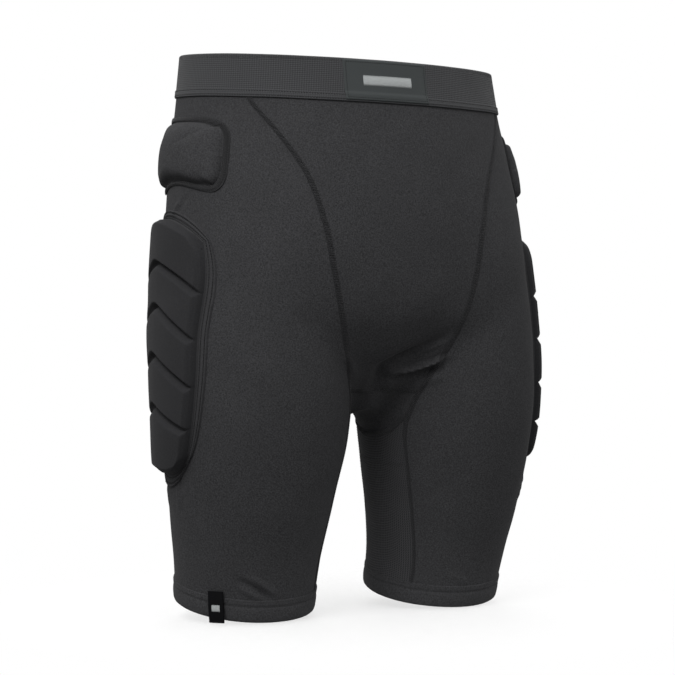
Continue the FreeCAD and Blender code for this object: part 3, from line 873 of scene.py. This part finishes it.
def satin_block(place, width, height, pitch):
    """Upright threads, side by side, that fill a rectangle. place(across, down) gives a surface."""
    across = spread(-width / 2, width / 2, pitch)[:, None]
    down = np.linspace(-height / 2, height / 2, 7)[None]
    surface = place(across + 0 * down, down + 0 * across)
    dip = 0.25 * (np.sin(np.linspace(0, math.pi, 7)) - 1)[None]
    return lifted(surface, dip), surface[1]


def make_label():
    z = spread(LABEL_TOP, LABEL_TOP - LABEL_HEIGHT, 0.7)[:, None]
    x = LABEL_X + spread(-LABEL_WIDTH / 2, LABEL_WIDTH / 2, 1.0)[None]
    base = draped(trunk_point(z, x + 0 * z, -1))
    edge = np.minimum(LABEL_TOP - z, z - LABEL_TOP + LABEL_HEIGHT)
    edge = np.minimum(LABEL_WIDTH / 2 - np.abs(x - LABEL_X), edge)
    height = label_lift(z) + 0.55 * np.sqrt(np.clip(edge / 1.1, 0, 1))
    height = height - 0.18 * groove(edge - LABEL_BORDER, 0.5)
    patch = make_shell("label_patch", lifted(base, height), lifted(base, label_lift(z) - 0.15),
                       FINISHES["label"])
    on_pelvis(patch, "label_weave", "waistband_label")

    def on_label(across, down):
        row = LABEL_TOP - LABEL_HEIGHT / 2 + down
        points, normals = draped(trunk_point(row, LABEL_X + across, -1))
        return lifted((points, normals), label_lift(row) + 0.62), normals

    w, h = LABEL_WIDTH / 2 - LABEL_BORDER, LABEL_HEIGHT / 2 - LABEL_BORDER
    corners = np.array(((-w, h), (w, h), (w, -h), (-w, -h), (-w, h)))
    route = resampled(corners, spread(0, 4 * (w + h), 1.0))
    border = make_threads("label_border", *stitch_row(on_label(route[:, 0], route[:, 1]), -0.05, 2.2), 0.26,
                          FINISHES["thread"])
    on_pelvis(border, "coverstitch")
    block = satin_block(on_label, LABEL_MARK["width"], LABEL_MARK["height"], 0.62)
    mark = make_threads("label_block", *block, 0.42, FINISHES["mark"])
    on_pelvis(mark, "mark_thread", "label_mark")
    cut_flat(patch)


# ---------------------------------------------------------------- hems and tab
HEM_TOP = HEM_Z + HEM_HEIGHT
HEM_SECTION = ((0.6, -0.3), (0.5, 0.45), (0.0, 1.0), (-0.9, 0.75), (-1.6, 1.05), (-3.0, 1.15), (-4.4, 1.0),
               (-5.1, 0.55), (-5.9, 0.95), (-8, 1.35), (-11, 1.5), (-14, 1.4), (-17, 1.15), (-18.6, 0.7),
               (-19.2, 0.0), (-19.1, -0.8), (-18.3, -1.3), (-15, -1.4), (-10, -1.4), (-5, -1.4), (0, -1.3))
HEM_ROWS = (-0.9, -5.1)


def make_hems(side, sign):
    place = mirrored(leg_point, sign)
    section = [(HEM_TOP + down, height) for down, height in HEM_SECTION]
    hem = make_ring(side + "_hem", section, place, 240, FINISHES["hem"])
    describe(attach(hem, side + "_leg"), "hem_cloth", side + "_hem_band")
    angles = np.linspace(0, 360, 260)
    rows = [stitch_row(draped(place(HEM_TOP + down + 0 * angles, angles)), lift, 2.6)
            for down, lift in zip(HEM_ROWS, (1.0, 0.85))]
    threads = make_threads(side + "_hem_threads", *joined(*rows), 0.28, FINISHES["seam_thread"])
    describe(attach(threads, side + "_leg"), "coverstitch", side + "_hem_coverstitch")
    cut_flat(hem)


def tab_frame():
    """The tab's hinge point on the wearer's right leg, the level directions outward and sideways, and the
    cloth's normal there."""
    root = leg_point(np.array(HEM_Z + TAB_LENGTH - 3), np.array(TAB_ANGLE)) * (-1, 1, 1)
    normal = form_normal(root)
    out = unit(normal * (1, 1, 0))
    return root, out, np.array((-out[Y], out[X], 0.0)), normal


def make_tab():
    """A tape folded at its lower end, both ends starting at its root just above the hem."""
    root, out, side, normal = tab_frame()
    down = 0.5 * normal[Z] * out - (0, 0, 1)
    turn = np.linspace(0, math.pi, 9)
    front = [(2.6 + 0.9 * math.sin(math.pi * s), TAB_LENGTH * s) for s in np.linspace(-0.06, 0.96, 26)]
    fold = [(2.55 + 0.75 * math.cos(a), TAB_LENGTH - 0.9 + 0.9 * math.sin(a)) for a in turn]
    back = [(1.8 + 0.3 * math.sin(math.pi * s), TAB_LENGTH * s) for s in np.linspace(0.94, -0.06, 22)]
    line = np.array(front + fold[1:-1] + back)
    across = np.linspace(-TAB_WIDTH / 2, TAB_WIDTH / 2, 17)
    centre = root + line[:, :1] * out + line[:, 1:] * down
    along = unit(np.gradient(centre, axis=0))
    facing = unit(np.cross(along, side))
    facing = facing * np.sign(np.sum(facing[:1] * out))
    points = centre[:, None] + across[None, :, None] * side
    thick = (0.28 * np.sqrt(np.clip((TAB_WIDTH / 2 - np.abs(across)) / 0.5, 0.1, 1)))[None, :, None]
    tape = make_shell("tab_loop", points + facing[:, None] * thick, points - facing[:, None] * thick,
                      FINISHES["tab"])
    describe(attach(tape, "hem_tab"), "tab_weave", "hem_tab")

    middle = (TAB_MARK["top"] + TAB_MARK["bottom"]) / 2

    def on_tab(sideways, fall):
        share = (middle - fall) / TAB_LENGTH
        lift = 2.95 + 0.9 * np.sin(np.pi * share)
        spot = root + lift[..., None] * out + (share * TAB_LENGTH)[..., None] * down
        spot = spot + sideways[..., None] * side
        return spot, np.broadcast_to(out, spot.shape)

    block = satin_block(on_tab, TAB_MARK["width"], TAB_MARK["bottom"] - TAB_MARK["top"], 0.45)
    mark = make_threads("tab_block", *block, 0.30, FINISHES["mark"])
    describe(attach(mark, "hem_tab"), "mark_thread", "hem_tab_mark")
    cut_flat(tape)


# ---------------------------------------------------------------- pads: shared shapes
def border_distance(x, y, size):
    """Millimetres from the pad's border, roughly."""
    return np.minimum((1 - np.abs(x)) * size[0], (1 - np.abs(y)) * size[1])


def ramp(distance, width):
    """A straight slope with slightly eased ends."""
    t = np.clip(distance / width, 0, 1)
    return 0.55 * t + 0.45 * smooth(t)


def turned_edge(distance, top, width=1.6):
    """Height of a cloth edge that is turned under: round at the border, level further in."""
    t = np.clip(distance / width, 0, 1)
    return 0.25 + (top - 0.25) * np.sqrt(1 - (1 - t) ** 2)


def groove(distance, width):
    return np.exp(-(distance / width) ** 2)


def border_route(inset, size, count):
    """Once round the pad at an inset from its border, in the pad's own coordinates."""
    w, h = 1 - inset / size[0], 1 - inset / size[1]
    t = np.linspace(0, 1, count)
    sides = [(-w + 2 * w * t, h + 0 * t), (w + 0 * t, h - 2 * h * t), (w - 2 * w * t, -h + 0 * t),
             (-w + 0 * t, -h + 2 * h * t)]
    return np.concatenate([np.stack(s, -1)[:-1] for s in sides] + [np.array([(-w, h)])])


def sewn_rows(place, size, insets):
    """Stitches round a pad's flange."""
    routes = (border_route(inset, size, 160) for inset in insets)
    return joined(*(stitch_row(draped(place(*route.T)), FLANGE_TOP - 0.25, 2.5) for route in routes))


# ---------------------------------------------------------------- thigh pads
THIGH_FLANGE = 10.5         # sewn flange round the moulded blocks
FLANGE_TOP = 1.9
THIGH_CORNER = 16.0         # radius of the outer blocks' corners
FLANGE_ROWS = (3.0, 7.4)    # stitch rows, from the border


def thigh_place(x, y):
    pad = THIGH_PAD
    u = x * np.sqrt(1 - pad["corner"] * y * y)
    w = y * (1 - np.abs(y) * (1 - np.sqrt(1 - pad["corner"] * x * x)))
    across = np.hypot(np.minimum(np.abs(x - THIGH_PEAK), 0.88), 0.1)
    w = w - THIGH_CHEVRON * (1 - np.abs(y) ** 2.5) * (across - THIGH_LEVEL)
    z = pad["z"] + pad["half_length"] * w
    half = pad["half_angle"] + (z - pad["z"]) * pad["taper"]
    tuck = THIGH_TUCK["angle"] * (smooth((THIGH_TUCK["z"] - z) / THIGH_TUCK["run"]) - THIGH_TUCK["lead"])
    return leg_point(z, pad["angle"] + half * u + tuck * np.maximum(-u, 0))


def thigh_block_share(x, y):
    """0 at the foot of the blocks to 1 on their flat faces, with chamfered edges and narrow grooves."""
    dx, dy = ((1 - np.abs(p)) * size - THIGH_FLANGE for p, size in zip((x, y), THIGH_SIZE))
    corner = THIGH_CORNER - np.hypot(np.maximum(THIGH_CORNER - dx, 0), np.maximum(THIGH_CORNER - dy, 0))
    inset = np.where(np.minimum(dx, dy) > THIGH_CORNER, np.minimum(dx, dy), corner)
    outside = 0.56 * smooth(inset / 1.4) + 0.44 * ramp(inset - 1.2, 4.4)
    places = (y + FLANGE) / (2 * FLANGE) * THIGH_BLOCKS
    nearest = np.clip(np.round(places), 1, THIGH_BLOCKS - 1)
    away = (places - nearest) * 2 * FLANGE / THIGH_BLOCKS * THIGH_SIZE[1]
    floor = 0.40 + 0.25 * smooth((x - THIGH_PEAK) / 0.25)
    above = floor + (1 - floor) * smooth((away - 0.3) / 3.6)
    below = floor + (1 - floor) * (0.25 * smooth((-away - 0.3) / 1.2) + 0.75 * ramp(-away - 1.0, 5.8))
    return np.minimum(outside, np.where(away > 0, above, below))


def thigh_height(x, y):
    """Top of the moulded cover above the cloth."""
    edge = border_distance(x, y, THIGH_SIZE)
    flange = turned_edge(edge, FLANGE_TOP)
    for row in FLANGE_ROWS:
        flange = flange - 1.1 * groove(edge - row, 0.75)
    flange = flange - 1.0 * groove(edge - THIGH_FLANGE + 0.4, 0.9)
    share = thigh_block_share(x, y)
    roof = 1.9 * np.clip((np.abs(x - THIGH_PEAK) - 0.09) / 0.7, 0, 1)
    return flange + share * (THIGH_CROWN - roof * smooth(share))


def make_thigh_pad(side, sign):
    place = mirrored(thigh_place, sign)
    y, x = grid(np.linspace(1, -1, 243), np.linspace(-1, 1, 135))
    base = draped(place(x, y))
    top = thigh_height(x, y)
    edge = border_distance(x, y, THIGH_SIZE)
    under = np.maximum(np.minimum(top - 0.8, 20.0), 0.1 + 0.75 * smooth(edge / 2.5))
    under = np.minimum(under, top - 0.1)
    cover = make_shell(side + "_thigh_pad", lifted(base, top), lifted(base, under), FINISHES["pad"])
    two_tone(cover, FINISHES["flange"], edge < THIGH_FLANGE - 0.5)
    describe(cover, "pad_cover", side + "_thigh_pad_cover")
    rows = sewn_rows(place, THIGH_SIZE, FLANGE_ROWS)
    threads = make_threads(side + "_thigh_pad_threads", *rows, 0.32, FINISHES["thread"])
    describe(threads, "seam_thread")
    lining = make_pad_lining(side + "_thigh_lining", place, THIGH_SIZE, (61, 35))
    describe(lining, "pad_backing", side + "_thigh_pad_backing")
    cut_flat(lining)
    foam = make_foam(side + "_thigh_foam", place, thigh_height, THIGH_SIZE, THIGH_FLANGE, THIGH_BLOCKS)
    describe(foam, "foam", *("%s_thigh_pad_foam_%d" % (side, k + 1) for k in range(THIGH_BLOCKS)))
    for piece in (cover, threads, lining, foam):
        bend_at_hip(piece)


LINING_INSET = 3.0          # the lining ends this far inside the pad's border
FOAM_INSET = 1.5            # the foam ends this far inside the cover's blocks
FOAM_GAP = 0.9              # from each block's end to the middle of the groove
FOAM_COVER = 1.3            # cover and room for it above the foam


def make_pad_lining(name, place, size, counts):
    """Thin cloth between the foam and the shorts."""
    w, h = (1 - LINING_INSET / half for half in size)
    y, x = grid(np.linspace(h, -h, counts[0]), np.linspace(-w, w, counts[1]))
    base = draped(place(x, y))
    return make_shell(name, lifted(base, 0.7), lifted(base, 0.2), FINISHES["lining"])


def make_foam(name, place, height, size, flange, blocks):
    """One closed block of foam for each block of the cover, all in one piece of mesh."""
    points, faces = [], []
    reach, limit = (1 - (flange + FOAM_INSET) / half for half in size)
    cuts = np.linspace(-FLANGE, FLANGE, blocks + 1) if blocks > 1 else np.array((-1.0, 1.0))
    cuts = np.clip(cuts, -limit, limit)
    gap = FOAM_GAP / size[1]
    for low, high in zip(cuts[:-1], cuts[1:]):
        y, x = grid(np.linspace(high - gap, low + gap, 24), np.linspace(-reach, reach, 48))
        base = draped(place(x, y))
        top = np.maximum(height(x, y) - FOAM_COVER, 1.2)
        faces.append(closed_faces(*y.shape) + 2 * y.size * len(points))
        points.append(np.concatenate([lifted(base, top).reshape(-1, 3), lifted(base, 0.85).reshape(-1, 3)]))
    return make_piece(name, np.concatenate(points), [np.concatenate(faces)], FINISHES["foam"], sharp=50)


# ---------------------------------------------------------------- hip and tailbone pads, stuffed
STUFFING_STEPS = 20         # steps of the cloth simulation
STUFFING_SMOOTHING = 8      # passes that even out the simulated cloth's creases


def stuffed(name, surface, height, pinned, cap, pressure=4.0, spare=0.015):
    """A cloth over a surface, blown up while its pinned points stay; no point moves further than cap.
    It is first made larger by a spare share."""
    start = lifted(surface, height)
    rows, columns = start.shape[:2]
    mesh = bpy.data.meshes.new(name)
    faces = grid_faces(rows, columns)
    corners = start.reshape(-1, 3)[faces]
    outward = np.cross(corners[:, 1] - corners[:, 0], corners[:, 2] - corners[:, 0])
    if np.sum(outward * surface[1].reshape(-1, 3)[faces[:, 0]]) < 0:
        faces = faces[:, ::-1]
    mesh.from_pydata((start.reshape(-1, 3) * MM).tolist(), [], faces.tolist())
    cloth_object = bpy.data.objects.new(name, mesh)
    bpy.context.scene.collection.objects.link(cloth_object)
    group = cloth_object.vertex_groups.new(name="pinned")
    group.add(np.flatnonzero(pinned.ravel()).tolist(), 1.0, "REPLACE")
    cloth = cloth_object.modifiers.new("stuffing", "CLOTH")
    settings = cloth.settings
    settings.quality = 6
    settings.mass = 0.15
    settings.tension_stiffness = settings.compression_stiffness = 12
    settings.shear_stiffness = 6
    settings.bending_stiffness = 1.0
    settings.air_damping = 4
    settings.vertex_group_mass = "pinned"
    settings.shrink_min = -spare
    settings.use_pressure = True
    settings.uniform_pressure_force = pressure
    settings.effector_weights.gravity = 0
    cloth.collision_settings.use_collision = False
    scene = bpy.context.scene
    for step in range(1, STUFFING_STEPS + 1):
        scene.frame_set(step)
    shaped = cloth_object.evaluated_get(bpy.context.evaluated_depsgraph_get())
    found = np.empty(rows * columns * 3, np.float32)
    shaped.data.vertices.foreach_get("co", found)
    bpy.data.objects.remove(cloth_object)
    scene.frame_set(1)
    move = found.reshape(rows, columns, 3) / MM - start
    sunk = np.minimum(np.sum(move * surface[1], axis=-1, keepdims=True), 0)
    move = move - sunk * surface[1]
    for _ in range(STUFFING_SMOOTHING):
        move[1:-1, 1:-1] = (move[:-2, 1:-1] + move[2:, 1:-1] + move[1:-1, :-2] + move[1:-1, 2:]) / 4
        move[pinned] = 0
    far = np.linalg.norm(move, axis=-1, keepdims=True)
    return start + move * np.minimum(1, cap / np.maximum(far, 1e-6))


HIP_CHANNEL = 6.0           # the sewn channel round the hip pad
HIP_SEAM = 2.8              # from the pad's border to the middle of the channel's seam


def hip_place(x, y):
    """Rounded corners by carrying each square contour to a superellipse."""
    pad = HIP_PAD
    power = 4.5
    size = np.maximum(np.abs(x), np.abs(y))
    round_off = size / np.maximum((np.abs(x) ** power + np.abs(y) ** power) ** (1 / power), 1e-6)
    u, w = x * round_off, y * round_off
    w = w + HIP_ARCH * (1 - x * x) ** 2 * (1 - y) / 2
    return leg_point(pad["z"] + pad["half_length"] * w, pad["angle"] + pad["half_angle"] * u)


def hip_height(x, y):
    """A pillow that is fullest towards its lower edge, inside a flat sewn channel."""
    inset = border_distance(x, y, HIP_SIZE) - HIP_CHANNEL
    rise = 1 - np.exp(-np.clip(inset, 0, None) / np.where(y < 0, 2.4, 3.4))
    dome = 0.72 + 0.28 * np.cos(0.5 * math.pi * np.clip(np.hypot(x * 0.9, y + 0.15), 0, 1))
    return 0.9 + (HIP_CROWN + 1.0) * rise * dome


def make_hip_pad(side, sign, pillow):
    place = mirrored(hip_place, sign)
    outer = pillow * (sign, 1, 1)
    y, x = hip_grid()
    base = draped(place(x, y))
    cover = make_shell(side + "_hip_pad", outer, lifted(base, 0.3), FINISHES["shell"])
    on_pelvis(cover, "shell_cloth", side + "_hip_pad_cover")

    def channel(t, offset):
        route = border_route(HIP_SEAM, HIP_SIZE, 90)
        steps = np.linalg.norm(np.diff(place(*route.T), axis=0), axis=-1)
        lengths = np.concatenate([[0], np.cumsum(steps)])
        spot = [np.interp(t * lengths[-1], lengths, route[:, k]) for k in (0, 1)]
        scale = [1 + offset / half / (1 - HIP_SEAM / half) for half in HIP_SIZE]
        return place(spot[0] * scale[0], spot[1] * scale[1])

    for piece in make_flatlock(side + "_hip_pad_channel", channel, 300, lift=0.8):
        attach(piece, "pelvis")
    lining = make_pad_lining(side + "_hip_lining", place, HIP_SIZE, (31, 41))
    on_pelvis(lining, "pad_backing", side + "_hip_pad_backing")
    cut_flat(lining)
    foam = make_foam(side + "_hip_foam", place, hip_height, HIP_SIZE, HIP_CHANNEL, 1)
    on_pelvis(foam, "foam", side + "_hip_pad_foam")


def hip_grid():
    return grid(np.linspace(1, -1, 73), np.linspace(-1, 1, 121))


def make_hip_pads():
    y, x = hip_grid()
    pinned = border_distance(x, y, HIP_SIZE) < HIP_CHANNEL
    pillow = stuffed("hip_pillow", draped(hip_place(x, y)), hip_height(x, y), pinned, cap=2.0)
    for side, sign in SIDES:
        make_hip_pad(side, sign, pillow)


TAIL_FLANGE = 6.0
TAIL_ROW = 3.0              # stitch row, from the border


def tail_place(x, y):
    pad = TAIL_PAD
    u = x * np.sqrt(1 - pad["corner"] * y * y)
    w = y * (1 - np.abs(y) * (1 - np.sqrt(1 - pad["corner"] * x * x)))
    width = pad["half_width"] * (1 + 0.22 * w)
    return trunk_point(pad["z"] + pad["half_length"] * w, width * u, 1)


def tail_channels(y):
    """Distance along the pad to the nearest sewn channel between its blocks."""
    places = (y + FLANGE) / (2 * FLANGE) * TAIL_BLOCKS
    nearest = np.clip(np.round(places), 1, TAIL_BLOCKS - 1)
    return np.abs(places - nearest) * 2 * FLANGE / TAIL_BLOCKS * TAIL_SIZE[1]


def tail_height(x, y):
    edge = border_distance(x, y, TAIL_SIZE)
    flange = turned_edge(edge, FLANGE_TOP) - 0.5 * groove(edge - TAIL_ROW, 0.6)
    rise = 1 - np.exp(-np.clip(edge - TAIL_FLANGE, 0, None) / 3.0)
    quilt = 0.25 + 0.75 * (1 - np.exp(-tail_channels(y) / 3.2))
    return flange + TAIL_CROWN * np.minimum(rise, quilt)


def make_tailbone_pad():
    y, x = grid(np.linspace(1, -1, 129), np.linspace(-1, 1, 89))
    base = draped(tail_place(x, y))
    pinned = (border_distance(x, y, TAIL_SIZE) < TAIL_FLANGE) | (tail_channels(y) < 0.8)
    top = stuffed("tail_pillow", base, tail_height(x, y), pinned, cap=1.5)
    cover = make_shell("tailbone_pad", top, lifted(base, 0.2), FINISHES["pad"])
    on_pelvis(cover, "pad_cover", "tailbone_pad_cover")
    rows = sewn_rows(tail_place, TAIL_SIZE, (TAIL_ROW,))
    threads = make_threads("tailbone_pad_threads", *rows, 0.32, FINISHES["thread"])
    on_pelvis(threads, "seam_thread")
    lining = make_pad_lining("tailbone_lining", tail_place, TAIL_SIZE, (41, 31))
    on_pelvis(lining, "pad_backing", "tailbone_pad_backing")
    cut_flat(lining)
    foam = make_foam("tailbone_foam", tail_place, tail_height, TAIL_SIZE, TAIL_FLANGE, TAIL_BLOCKS)
    on_pelvis(foam, "foam", *("tailbone_pad_foam_%d" % (k + 1) for k in range(TAIL_BLOCKS)))


# ---------------------------------------------------------------- the studio
CAMERA_AZIMUTH = -30.0
CAMERA_DISTANCE = 1.8
CAMERA_Z = -0.251
CAMERA_LENS = 103.68
SKY = (0.1, 1.12)           # brightness of the surroundings below and above
FLOOR_FADE = (0.22, 0.62)   # metres from the middle
LIGHT_TARGET = (0.0, 0.0, -0.25)
# name, place, size and power of each soft light
LIGHTS = (("key", (-1.9, -1.5, 2.0), 1.2, 52.0), ("rim", (1.6, -0.7, 1.2), 1.0, 2.0),
          ("back", (1.2, 2.0, 1.7), 1.4, 26.0))


def make_camera():
    azimuth = math.radians(CAMERA_AZIMUTH)
    camera = bpy.data.objects.new("camera", bpy.data.cameras.new("camera"))
    camera.data.lens = CAMERA_LENS
    camera.location = (math.sin(azimuth) * CAMERA_DISTANCE, -math.cos(azimuth) * CAMERA_DISTANCE, CAMERA_Z)
    camera.rotation_euler = (math.pi / 2, 0, azimuth)
    bpy.context.scene.collection.objects.link(camera)
    bpy.context.scene.camera = camera


def make_floor():
    """A pale sheet under the shorts that fades into the pale surroundings."""
    reach, low = 1000.0, cad_box[0].z / MM - 1.0
    x, y = grid(np.linspace(-reach, reach, 21), np.linspace(-reach, reach, 21))
    f = Finish("pale_floor", specular=0.5)
    for key, value in (("Base Color", (0.92, 0.92, 0.92, 1)), ("Emission Color", (1, 1, 1, 1)),
                       ("Emission Strength", 0.12)):
        f.shader.inputs[key].default_value = value
    away = f.node("VectorMath", {0: f.place()}, operation="LENGTH").outputs["Value"]
    fade = {0: away, 1: FLOOR_FADE[0], 2: FLOOR_FADE[1], 3: 1.0, 4: 0.0}
    fade = f.node("MapRange", fade, interpolation_type="SMOOTHSTEP").outputs[0]
    f.tree.links.new(fade, f.shader.inputs["Alpha"])
    make_shell("floor", stacked(x, y, low), stacked(x, y, low - 2.0), f.material)


def make_light(name, place, size, power):
    light = bpy.data.objects.new(name, bpy.data.lights.new(name, "AREA"))
    light.data.size = size
    light.data.energy = power
    light.location = place
    light.rotation_euler = (Vector(LIGHT_TARGET) - Vector(place)).to_track_quat("-Z", "Y").to_euler()
    bpy.context.scene.collection.objects.link(light)


def make_studio():
    """White surroundings that light the shorts from above more than from below."""
    world = bpy.data.worlds.new("studio")
    world.use_nodes = True
    n = Nodes(world.node_tree)
    height = n.node("SeparateXYZ", {0: n.node("TexCoord").outputs["Generated"]}).outputs["Z"]
    sky = n.node("MapRange", {0: height, 1: -0.6, 2: 0.9, 3: SKY[0], 4: SKY[1]}).outputs[0]
    lit = n.node("Background", {"Strength": sky}).outputs[0]
    seen = n.node("Background", {"Color": (1, 1, 1, 1)}).outputs[0]
    mix = n.node("MixShader", {0: n.node("LightPath").outputs["Is Camera Ray"], 1: lit, 2: seen})
    n.tree.links.new(mix.outputs[0], n.tree.nodes["World Output"].inputs["Surface"])
    bpy.context.scene.world = world
    bpy.context.scene.view_settings.view_transform = "Standard"
    for light in LIGHTS:
        make_light(*light)
    make_floor()


make_camera()
make_studio()
make_trunk_panels()
make_gusset()
for name, mirror in SIDES:
    make_side_panels(name, mirror)
    make_mesh_panels(name, mirror)
    make_leg_seams(name, mirror)
    make_hems(name, mirror)
    make_thigh_pad(name, mirror)
make_gusset_seams()
make_waistband()
make_label()
make_tab()
make_hip_pads()
make_tailbone_pad()
